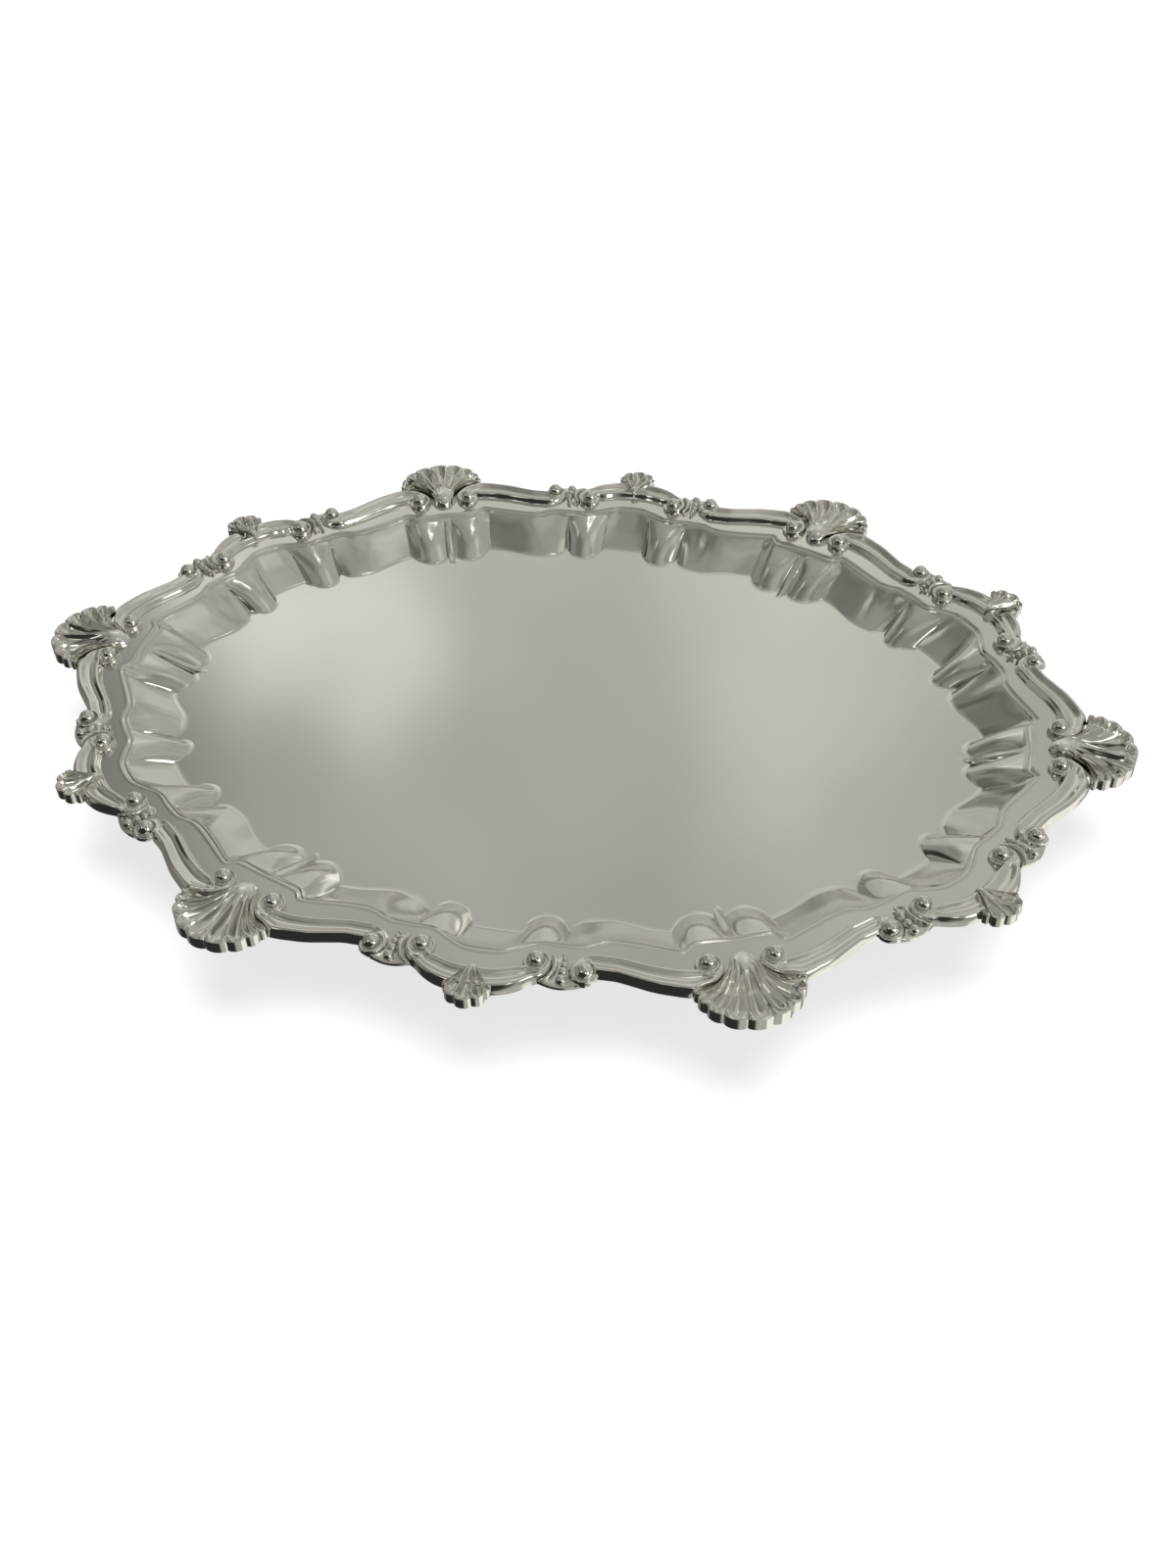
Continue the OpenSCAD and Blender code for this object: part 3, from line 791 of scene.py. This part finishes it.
def foot_part():
    """A cabriole leg in its own plane: x outwards, y sideways, z up from the table."""
    path = spline(FOOT_PATH, 7)
    width = spline([[i, w] for i, w in enumerate(FOOT_WIDTH)], 7)[:, 1]
    depth = spline([[i, d] for i, d in enumerate(FOOT_DEPTH)], 7)[:, 1]
    along = np.gradient(path, axis=0)
    along /= np.linalg.norm(along, axis=1, keepdims=True)
    out = np.stack([-along[:, 1], along[:, 0]], -1)
    a = ring_angles(48)[None, :]
    t = np.linspace(0, 1, len(path))[:, None]
    ribs = 1 + 0.16 * np.cos(a * 9) * np.clip(np.sin(a), 0, 1) * np.clip((0.5 - t) / 0.3, 0, 1)
    sideways = np.cos(a) * width[:, None] * (1 + 0 * t)
    forward = np.sin(a) * depth[:, None] * ribs
    points = np.stack([path[:, 0:1] + out[:, 0:1] * forward, sideways,
                       np.clip(path[:, 1:2] + out[:, 1:2] * forward, 0.05, FOOT_TOP)], -1)
    faces = tube_faces(*points.shape[:2])
    # Tarnish and painted shade in the grooves between the knee leaf's ribs
    recess = np.clip(-np.cos(a * 9), 0, 1) * np.clip((0.5 - t) / 0.3, 0, 1) * (np.sin(a) > 0)
    return points.reshape(-1, 3), faces, recess + 0 * t


def pad_part():
    """A round pad with a rolled edge under the toe."""
    profile = spline([[0, 2.3], [1.6, 2.3], [3.2, 1.95], [4.4, 1.8], [4.9, 1.3], [5.0, 0.8], [4.7, 0.2],
                      [4.3, 0.0]], 4)
    a = ring_angles(48)
    points = np.stack([1.0 + profile[1:, 0:1] * np.cos(a), profile[1:, 0:1] * np.sin(a),
                       profile[1:, 1:2] + 0 * a], -1)
    count, m = points.shape[:2]
    return points.reshape(-1, 3), tube_faces(count, m), np.zeros(count * m)


def make_feet(material):
    """Four small cabriole feet with a ribbed leaf on the knee."""
    points, faces, recess = join_parts([foot_part(), pad_part()])
    for number, station in enumerate(FOOT_STATIONS, 1):
        place = on_oval(np.array([station, station]) * GIRTH / STATIONS, np.array([FOOT_N, FOOT_N + 1]))
        away = place[1] - place[0]
        flat = place[0] + points[:, 0:1] * away + points[:, 1:2] * np.array([-away[1], away[0]])
        placed = np.concatenate([flat, points[:, 2:3]], 1) * MM
        piece = mesh_object(f"cabriole_foot_{number}", placed, faces, recess)
        finish_piece(piece, material, [f"foot_{number}"])


# ---------------------------------------------------------------- finishes
def wear_and_shade_group():
    """Shader group: rubbed silver with fine hairlines, cloudy patches, and dark patina with painted shade in
    its recesses.
    """
    group = bpy.data.node_groups.new("rubbed_silver_and_painted_shade", "ShaderNodeTree")
    face = group.interface
    for label, kind, value in (
            ("Silver", "NodeSocketColor", (0.86, 0.845, 0.79, 1)),
            ("Patina And Shade", "NodeSocketColor", (0.3, 0.25, 0.17, 1)),
            ("Patina And Shade Amount", "NodeSocketFloat", 0.6),
            ("Roughness", "NodeSocketFloat", 0.2),
            ("Cloud Amount", "NodeSocketFloat", 0.1),
            ("Hairline Amount", "NodeSocketFloat", 0.3)):
        socket = face.new_socket(label, in_out="INPUT", socket_type=kind)
        socket.default_value = value
    face.new_socket("Color", in_out="OUTPUT", socket_type="NodeSocketColor")
    face.new_socket("Roughness", in_out="OUTPUT", socket_type="NodeSocketFloat")
    face.new_socket("Height", in_out="OUTPUT", socket_type="NodeSocketFloat")
    nodes, links = group.nodes, group.links
    enter, leave = nodes.new("NodeGroupInput"), nodes.new("NodeGroupOutput")
    place = nodes.new("ShaderNodeTexCoord")
    recess = nodes.new("ShaderNodeAttribute")
    recess.attribute_name = "recess"

    def noise(scale, detail, stretch=(1, 1, 1), turn_z=0.0):
        """A noise over the piece, squeezed by stretch and turned about Z."""
        mapping = nodes.new("ShaderNodeMapping")
        mapping.inputs["Scale"].default_value = stretch
        mapping.inputs["Rotation"].default_value = (0, 0, turn_z)
        texture = nodes.new("ShaderNodeTexNoise")
        texture.inputs["Scale"].default_value = scale
        texture.inputs["Detail"].default_value = detail
        links.new(place.outputs["Object"], mapping.inputs["Vector"])
        links.new(mapping.outputs["Vector"], texture.inputs["Vector"])
        return texture.outputs["Fac"]

    def remap(value, low, high, to_low=0.0, to_high=1.0):
        """Carries the range low to high onto to_low to to_high."""
        node = nodes.new("ShaderNodeMapRange")
        node.inputs["From Min"].default_value = low
        node.inputs["From Max"].default_value = high
        node.inputs["To Min"].default_value = to_low
        node.inputs["To Max"].default_value = to_high
        links.new(value, node.inputs["Value"])
        return node.outputs["Result"]

    def maths(operation, a, b):
        """One arithmetic step on two sockets or numbers."""
        node = nodes.new("ShaderNodeMath")
        node.operation = operation
        for socket, value in zip(node.inputs, (a, b)):
            if isinstance(value, float):
                socket.default_value = value
            else:
                links.new(value, socket)
        return node.outputs[0]

    hairs = None
    for index, turn_z in enumerate((0.35, 1.3, 2.2, 2.9)):
        lines = noise(9.0 + index, 2.0, (1.0, 70.0, 1.0), turn_z)
        sharp_lines = remap(lines, 0.62, 0.72)
        hairs = sharp_lines if hairs is None else maths("ADD", hairs, sharp_lines)
    cloud = noise(14.0, 4.0)
    fine_cloud = noise(70.0, 5.0)
    patch = maths("ADD", maths("MULTIPLY", cloud, 0.7), maths("MULTIPLY", fine_cloud, 0.3))
    patch = remap(patch, 0.35, 0.65, -1.0, 1.0)
    rough = maths("ADD", enter.outputs["Roughness"], maths("MULTIPLY", patch, enter.outputs["Cloud Amount"]))
    hair_rough = maths("MULTIPLY", enter.outputs["Hairline Amount"], 0.12)
    rough = maths("ADD", rough, maths("MULTIPLY", hairs, hair_rough))
    # Tarnish and painted shade: the recess attribute mixes in the dark colour, broken up by a fine noise
    patina_and_shade_mask = maths("MULTIPLY", recess.outputs["Fac"], remap(fine_cloud, 0.3, 0.6, 0.55, 1.0))
    patina_and_shade_mask = maths("MINIMUM", maths("MULTIPLY", patina_and_shade_mask, enter.outputs["Patina And Shade Amount"]), 0.95)
    mix = nodes.new("ShaderNodeMix")
    mix.data_type = "RGBA"
    colour_in = [socket for socket in mix.inputs if socket.type == "RGBA"]
    colour_out = [socket for socket in mix.outputs if socket.type == "RGBA"]
    links.new(patina_and_shade_mask, mix.inputs[0])
    links.new(enter.outputs["Silver"], colour_in[0])
    links.new(enter.outputs["Patina And Shade"], colour_in[1])
    links.new(colour_out[0], leave.inputs["Color"])
    links.new(maths("ADD", rough, maths("MULTIPLY", patina_and_shade_mask, 0.25)), leave.inputs["Roughness"])
    height = maths("SUBTRACT", maths("MULTIPLY", fine_cloud, 0.4),
                   maths("MULTIPLY", hairs, enter.outputs["Hairline Amount"]))
    links.new(height, leave.inputs["Height"])
    return group


def silver_material(name, roughness, cloud, hairline, patina_and_shade_amount, bump, colour_gain=1.0):
    """A metal material around the shared group of wear, patina and painted shade."""
    finish = bpy.context.scene.salver_finish
    group = bpy.data.node_groups.get("rubbed_silver_and_painted_shade") or wear_and_shade_group()
    material = bpy.data.materials.new(name)
    material.use_nodes = True
    nodes, links = material.node_tree.nodes, material.node_tree.links
    shader = nodes["Principled BSDF"]
    shader.inputs["Metallic"].default_value = 1.0
    wear = nodes.new("ShaderNodeGroup")
    wear.node_tree = group
    wear.inputs["Silver"].default_value = (*(c * colour_gain for c in finish.silver), 1)
    wear.inputs["Patina And Shade"].default_value = (*finish.patina_and_shade, 1)
    wear.inputs["Patina And Shade Amount"].default_value = patina_and_shade_amount
    wear.inputs["Roughness"].default_value = roughness
    wear.inputs["Cloud Amount"].default_value = cloud
    wear.inputs["Hairline Amount"].default_value = hairline
    relief = nodes.new("ShaderNodeBump")
    relief.inputs["Strength"].default_value = bump
    relief.inputs["Distance"].default_value = 0.04 * MM
    links.new(wear.outputs["Color"], shader.inputs["Base Color"])
    links.new(wear.outputs["Roughness"], shader.inputs["Roughness"])
    links.new(wear.outputs["Height"], relief.inputs["Height"])
    links.new(relief.outputs["Normal"], shader.inputs["Normal"])
    return material


def material_called(name):
    """The named finish, made on its first use."""
    found = bpy.data.materials.get(name)
    if found:
        return found
    finish = bpy.context.scene.salver_finish
    if name == "plate_silver":
        return silver_material(name, finish.plate_roughness, cloud=0.03, hairline=0.6, patina_and_shade_amount=0.75,
                               bump=0.35)
    if name == "border_silver":
        return silver_material(name, finish.border_roughness, cloud=0.04, hairline=0.15, patina_and_shade_amount=1.25,
                               bump=0.12)
    return silver_material(name, finish.border_roughness + 0.06, cloud=0.06, hairline=0.2,
                           patina_and_shade_amount=0.7, bump=0.2, colour_gain=0.95)


# ---------------------------------------------------------------- stage
def ragged_directions(nodes, links, reach):
    """Directions of the surroundings, pushed about by a noise so that patches get ragged edges."""
    place = nodes.new("ShaderNodeTexCoord")
    noise = nodes.new("ShaderNodeTexNoise")
    noise.inputs["Scale"].default_value = 9.0
    noise.inputs["Detail"].default_value = 4.0
    push = nodes.new("ShaderNodeVectorMath")
    push.operation = "MULTIPLY_ADD"
    push.inputs[1].default_value = (reach, reach, reach)
    push.inputs[2].default_value = (-reach / 2, -reach / 2, -reach / 2)
    both = nodes.new("ShaderNodeVectorMath")
    unit = nodes.new("ShaderNodeVectorMath")
    unit.operation = "NORMALIZE"
    links.new(place.outputs["Generated"], noise.inputs["Vector"])
    links.new(noise.outputs["Color"], push.inputs[0])
    links.new(push.outputs[0], both.inputs[0])
    links.new(place.outputs["Generated"], both.inputs[1])
    links.new(both.outputs[0], unit.inputs[0])
    return unit.outputs[0]


def glow_from(nodes, links, way, direction, wide, soft, colour, strength):
    """A soft patch of light in the surroundings, round one direction."""
    dot = nodes.new("ShaderNodeVectorMath")
    dot.operation = "DOT_PRODUCT"
    dot.inputs[1].default_value = Vector(direction).normalized()
    span = nodes.new("ShaderNodeMapRange")
    span.interpolation_type = "SMOOTHSTEP"
    span.inputs["From Min"].default_value = math.cos(math.radians(wide + soft))
    span.inputs["From Max"].default_value = math.cos(math.radians(wide))
    gain = nodes.new("ShaderNodeVectorMath")
    gain.operation = "SCALE"
    gain.inputs[0].default_value = [c * strength for c in colour]
    links.new(way, dot.inputs[0])
    links.new(dot.outputs["Value"], span.inputs["Value"])
    links.new(span.outputs["Result"], gain.inputs["Scale"])
    return gain.outputs[0]


def toward(azimuth, elevation):
    """Direction at an azimuth from the camera's far side, clockwise seen from above, in degrees."""
    a = -bpy.context.scene.salver_stage.azimuth + math.radians(azimuth)
    e = math.radians(elevation)
    return (math.sin(a) * math.cos(e), math.cos(a) * math.cos(e), math.sin(e))


SURROUNDINGS = [
    # azimuth, elevation, half width, softness, strength
    (45, 30, 25, 50, 0.15),
    (-10, 4, 22, 12, 0.18),
    (0, 38, 8, 6, 0.07),
    (0, 31, 4, 5, 0.1),
    (18, 40, 5, 8, 0.07),
    (-12.5, 35.8, 1.5, 3.5, 0.46),
    (-21, 37, 1, 3, 0.06),
    (11, 36, 3, 6, 0.14),
    (-30, 40, 3, 10, -0.12),
    (-148, 4, 30, 18, -0.34),
    (176, -2, 14, 16, -0.22),
    (-62, 18, 6, 7, -0.3),
    (-95, 30, 7, 10, -0.16),
    (-85, 66, 6, 10, -0.12),
    (152, 78, 5, 9, 0.14),
    (-50, 46, 5, 10, -0.12),
    (132, 14, 11, 5, 1.8),
    (160, 30, 4, 3, 2.4),
    (112, 43, 3, 3, 1.4),
    (85, 62, 4, 8, 0.2),
    (20, 72, 2, 2, 2.6),
    (-132, 38, 5, 3, 1.5),
    (-160, 44, 2.5, 3, 1.0),
    (-60, 60, 2, 3, 0.45),
    (30, 4, 5, 6, 0.7),
    (102, -34, 22, 10, 0.7),
    (160, -36, 16, 14, 0.16),
    (-130, -38, 32, 10, -0.3),
    (-60, -30, 20, 20, -0.12),
]


PATCH_COLOUR = (1.0, 0.985, 0.93)
ROOM_COLOUR = (0.312, 0.307, 0.282)
DARKEST = (0.03, 0.03, 0.028)
BACKDROP_COLOUR = (1.0, 1.0, 0.995, 1)


def room_glow(nodes, links):
    """Light of the room: its even tone and the sum of its patches."""
    way = ragged_directions(nodes, links, 0.3)
    total = None
    for azimuth, elevation, wide, soft, strength in SURROUNDINGS:
        patch = glow_from(nodes, links, way, toward(azimuth, elevation), wide, soft, PATCH_COLOUR, strength)
        both = nodes.new("ShaderNodeVectorMath")
        links.new(patch, both.inputs[1])
        if total is None:
            both.inputs[0].default_value = ROOM_COLOUR
        else:
            links.new(total, both.inputs[0])
        total = both.outputs[0]
    return total


def mottle(nodes, links):
    """A soft noise round 1, over the directions of the room."""
    place = nodes.new("ShaderNodeTexCoord")
    cloud = nodes.new("ShaderNodeTexNoise")
    cloud.inputs["Scale"].default_value = 7.0
    cloud.inputs["Detail"].default_value = 4.0
    cloud.inputs["Distortion"].default_value = 0.6
    span = nodes.new("ShaderNodeMapRange")
    for label, value in (("From Min", 0.3), ("From Max", 0.7), ("To Min", 0.82), ("To Max", 1.2)):
        span.inputs[label].default_value = value
    links.new(place.outputs["Generated"], cloud.inputs["Vector"])
    links.new(cloud.outputs["Fac"], span.inputs["Value"])
    return span.outputs["Result"]


def make_surroundings():
    """A room that only the metal sees, and a plain pale backdrop for the camera."""
    world = bpy.data.worlds.new("studio")
    bpy.context.scene.world = world
    world.use_nodes = True
    nodes, links = world.node_tree.nodes, world.node_tree.links
    cloudy = nodes.new("ShaderNodeVectorMath")
    cloudy.operation = "SCALE"
    links.new(room_glow(nodes, links), cloudy.inputs[0])
    links.new(mottle(nodes, links), cloudy.inputs["Scale"])
    floor_at = nodes.new("ShaderNodeVectorMath")
    floor_at.operation = "MAXIMUM"
    floor_at.inputs[1].default_value = DARKEST
    room = nodes["Background"]
    links.new(cloudy.outputs[0], floor_at.inputs[0])
    links.new(floor_at.outputs[0], room.inputs["Color"])
    backdrop = nodes.new("ShaderNodeBackground")
    backdrop.inputs["Color"].default_value = BACKDROP_COLOUR
    path = nodes.new("ShaderNodeLightPath")
    choice = nodes.new("ShaderNodeMixShader")
    links.new(path.outputs["Is Camera Ray"], choice.inputs[0])
    links.new(room.outputs[0], choice.inputs[1])
    links.new(backdrop.outputs[0], choice.inputs[2])
    links.new(choice.outputs[0], nodes["World Output"].inputs["Surface"])


def make_floor():
    """A plain pale floor, which polished metal sees darker than the camera does."""
    size = 6.0
    mesh = bpy.data.meshes.new("floor")
    corners = [(-size, -size, 0), (size, -size, 0), (size, size, 0), (-size, size, 0)]
    mesh.from_pydata(corners, [], [[0, 1, 2, 3]])
    floor = bpy.data.objects.new("floor", mesh)
    bpy.context.scene.collection.objects.link(floor)
    material = bpy.data.materials.new("pale_floor")
    material.use_nodes = True
    nodes, links = material.node_tree.nodes, material.node_tree.links
    shader = nodes["Principled BSDF"]
    shader.inputs["Base Color"].default_value = (0.3, 0.3, 0.3, 1)
    shader.inputs["Roughness"].default_value = 0.9
    shader.inputs["Specular IOR Level"].default_value = 0.1
    lift = nodes.new("ShaderNodeEmission")
    lift.inputs["Color"].default_value = (0.72, 0.72, 0.715, 1)
    both = nodes.new("ShaderNodeAddShader")
    links.new(shader.outputs[0], both.inputs[0])
    links.new(lift.outputs[0], both.inputs[1])
    links.new(both.outputs[0], nodes["Material Output"].inputs["Surface"])
    floor.visible_glossy = False
    mesh.materials.append(material)


def make_light():
    """One wide soft light overhead. The metal sees the room instead of it."""
    data = bpy.data.lights.new("overhead", "AREA")
    data.shape = "DISK"
    data.size = 3.0
    data.energy = 150.0
    light = bpy.data.objects.new("overhead", data)
    bpy.context.scene.collection.objects.link(light)
    light.location = (0.3, 0.4, 3.0)
    light.rotation_mode = "QUATERNION"
    light.rotation_quaternion = (-light.location).to_track_quat("-Z", "Y")
    light.visible_glossy = False


def make_camera():
    """The camera, placed by its direction from a point a little in front of the middle."""
    stage = bpy.context.scene.salver_stage
    aim = Vector((0.0135, -0.0375, EYE_Z * MM))
    way = Vector((-math.sin(stage.azimuth) * math.cos(stage.elevation),
                  math.cos(stage.azimuth) * math.cos(stage.elevation), -math.sin(stage.elevation)))
    data = bpy.data.cameras.new("camera")
    data.lens = stage.lens
    data.sensor_width = 36.0
    camera = bpy.data.objects.new("camera", data)
    bpy.context.scene.collection.objects.link(camera)
    level = way.to_track_quat("-Z", "Y").to_matrix().to_4x4()
    camera.matrix_world = Matrix.Translation(aim - way * stage.distance) @ level @ Matrix.Rotation(
        stage.roll, 4, "Z")
    bpy.context.scene.camera = camera
    bpy.context.scene.view_settings.view_transform = "Standard"


# ---------------------------------------------------------------- operators
class SALVER_OT_plate(bpy.types.Operator):
    """Make the plate with its well, wall and shelf"""
    bl_idname = "salver.plate"
    bl_label = "Make plate"

    def execute(self, context):
        make_plate(material_called("plate_silver"))
        return {"FINISHED"}


class SALVER_OT_long_scrolls(bpy.types.Operator):
    """Make the twelve long S-scrolls"""
    bl_idname = "salver.long_scrolls"
    bl_label = "Make long scrolls"

    def execute(self, context):
        make_long_scrolls(material_called("border_silver"))
        return {"FINISHED"}


class SALVER_OT_c_scrolls(bpy.types.Operator):
    """Make the six C-scrolls"""
    bl_idname = "salver.c_scrolls"
    bl_label = "Make C-scrolls"

    def execute(self, context):
        make_c_scrolls(material_called("border_silver"))
        return {"FINISHED"}


class SALVER_OT_shells(bpy.types.Operator):
    """Make the six shells"""
    bl_idname = "salver.shells"
    bl_label = "Make shells"

    def execute(self, context):
        make_shells(material_called("border_silver"))
        return {"FINISHED"}


class SALVER_OT_palmettes(bpy.types.Operator):
    """Make the six palmettes"""
    bl_idname = "salver.palmettes"
    bl_label = "Make palmettes"

    def execute(self, context):
        make_palmettes(material_called("border_silver"))
        return {"FINISHED"}


class SALVER_OT_pearls(bpy.types.Operator):
    """Make the twelve wedges of pearls"""
    bl_idname = "salver.pearls"
    bl_label = "Make pearls"

    def execute(self, context):
        make_pearls(material_called("border_silver"))
        return {"FINISHED"}


class SALVER_OT_feet(bpy.types.Operator):
    """Make the four feet"""
    bl_idname = "salver.feet"
    bl_label = "Make feet"

    def execute(self, context):
        make_feet(material_called("foot_silver"))
        return {"FINISHED"}


class SALVER_OT_stage(bpy.types.Operator):
    """Make the surroundings, the floor, the light and the camera"""
    bl_idname = "salver.stage"
    bl_label = "Make stage"

    def execute(self, context):
        make_surroundings()
        make_floor()
        make_light()
        make_camera()
        return {"FINISHED"}


class SALVER_PT_panel(bpy.types.Panel):
    """Lists the steps that build the salver"""
    bl_idname = "SALVER_PT_panel"
    bl_label = "Salver"
    bl_space_type = "VIEW_3D"
    bl_region_type = "UI"
    bl_category = "Salver"

    def draw(self, context):
        for step in STEPS:
            self.layout.operator(step.bl_idname)


STEPS = (SALVER_OT_plate, SALVER_OT_long_scrolls, SALVER_OT_c_scrolls, SALVER_OT_shells,
         SALVER_OT_palmettes, SALVER_OT_pearls, SALVER_OT_feet, SALVER_OT_stage)
SETTINGS = {
    "salver_plate": SalverPlateSettings,
    "salver_border": SalverBorderSettings,
    "salver_finish": SalverFinishSettings,
    "salver_stage": SalverStageSettings,
}


def register():
    """Adds the settings, the operators and the panel."""
    for group in SETTINGS.values():
        bpy.utils.register_class(group)
    for name, group in SETTINGS.items():
        setattr(bpy.types.Scene, name, bpy.props.PointerProperty(type=group))
    for operator in STEPS:
        bpy.utils.register_class(operator)
    bpy.utils.register_class(SALVER_PT_panel)


def unregister():
    """Takes away all that register adds."""
    bpy.utils.unregister_class(SALVER_PT_panel)
    for operator in reversed(STEPS):
        bpy.utils.unregister_class(operator)
    for name in SETTINGS:
        delattr(bpy.types.Scene, name)
    for group in reversed(SETTINGS.values()):
        bpy.utils.unregister_class(group)


def main():
    """Builds the salver and its stage step by step."""
    register()
    bpy.ops.salver.plate()
    bpy.ops.salver.long_scrolls()
    bpy.ops.salver.c_scrolls()
    bpy.ops.salver.shells()
    bpy.ops.salver.palmettes()
    bpy.ops.salver.pearls()
    bpy.ops.salver.feet()
    bpy.ops.salver.stage()


if __name__ == "__main__":
    main()
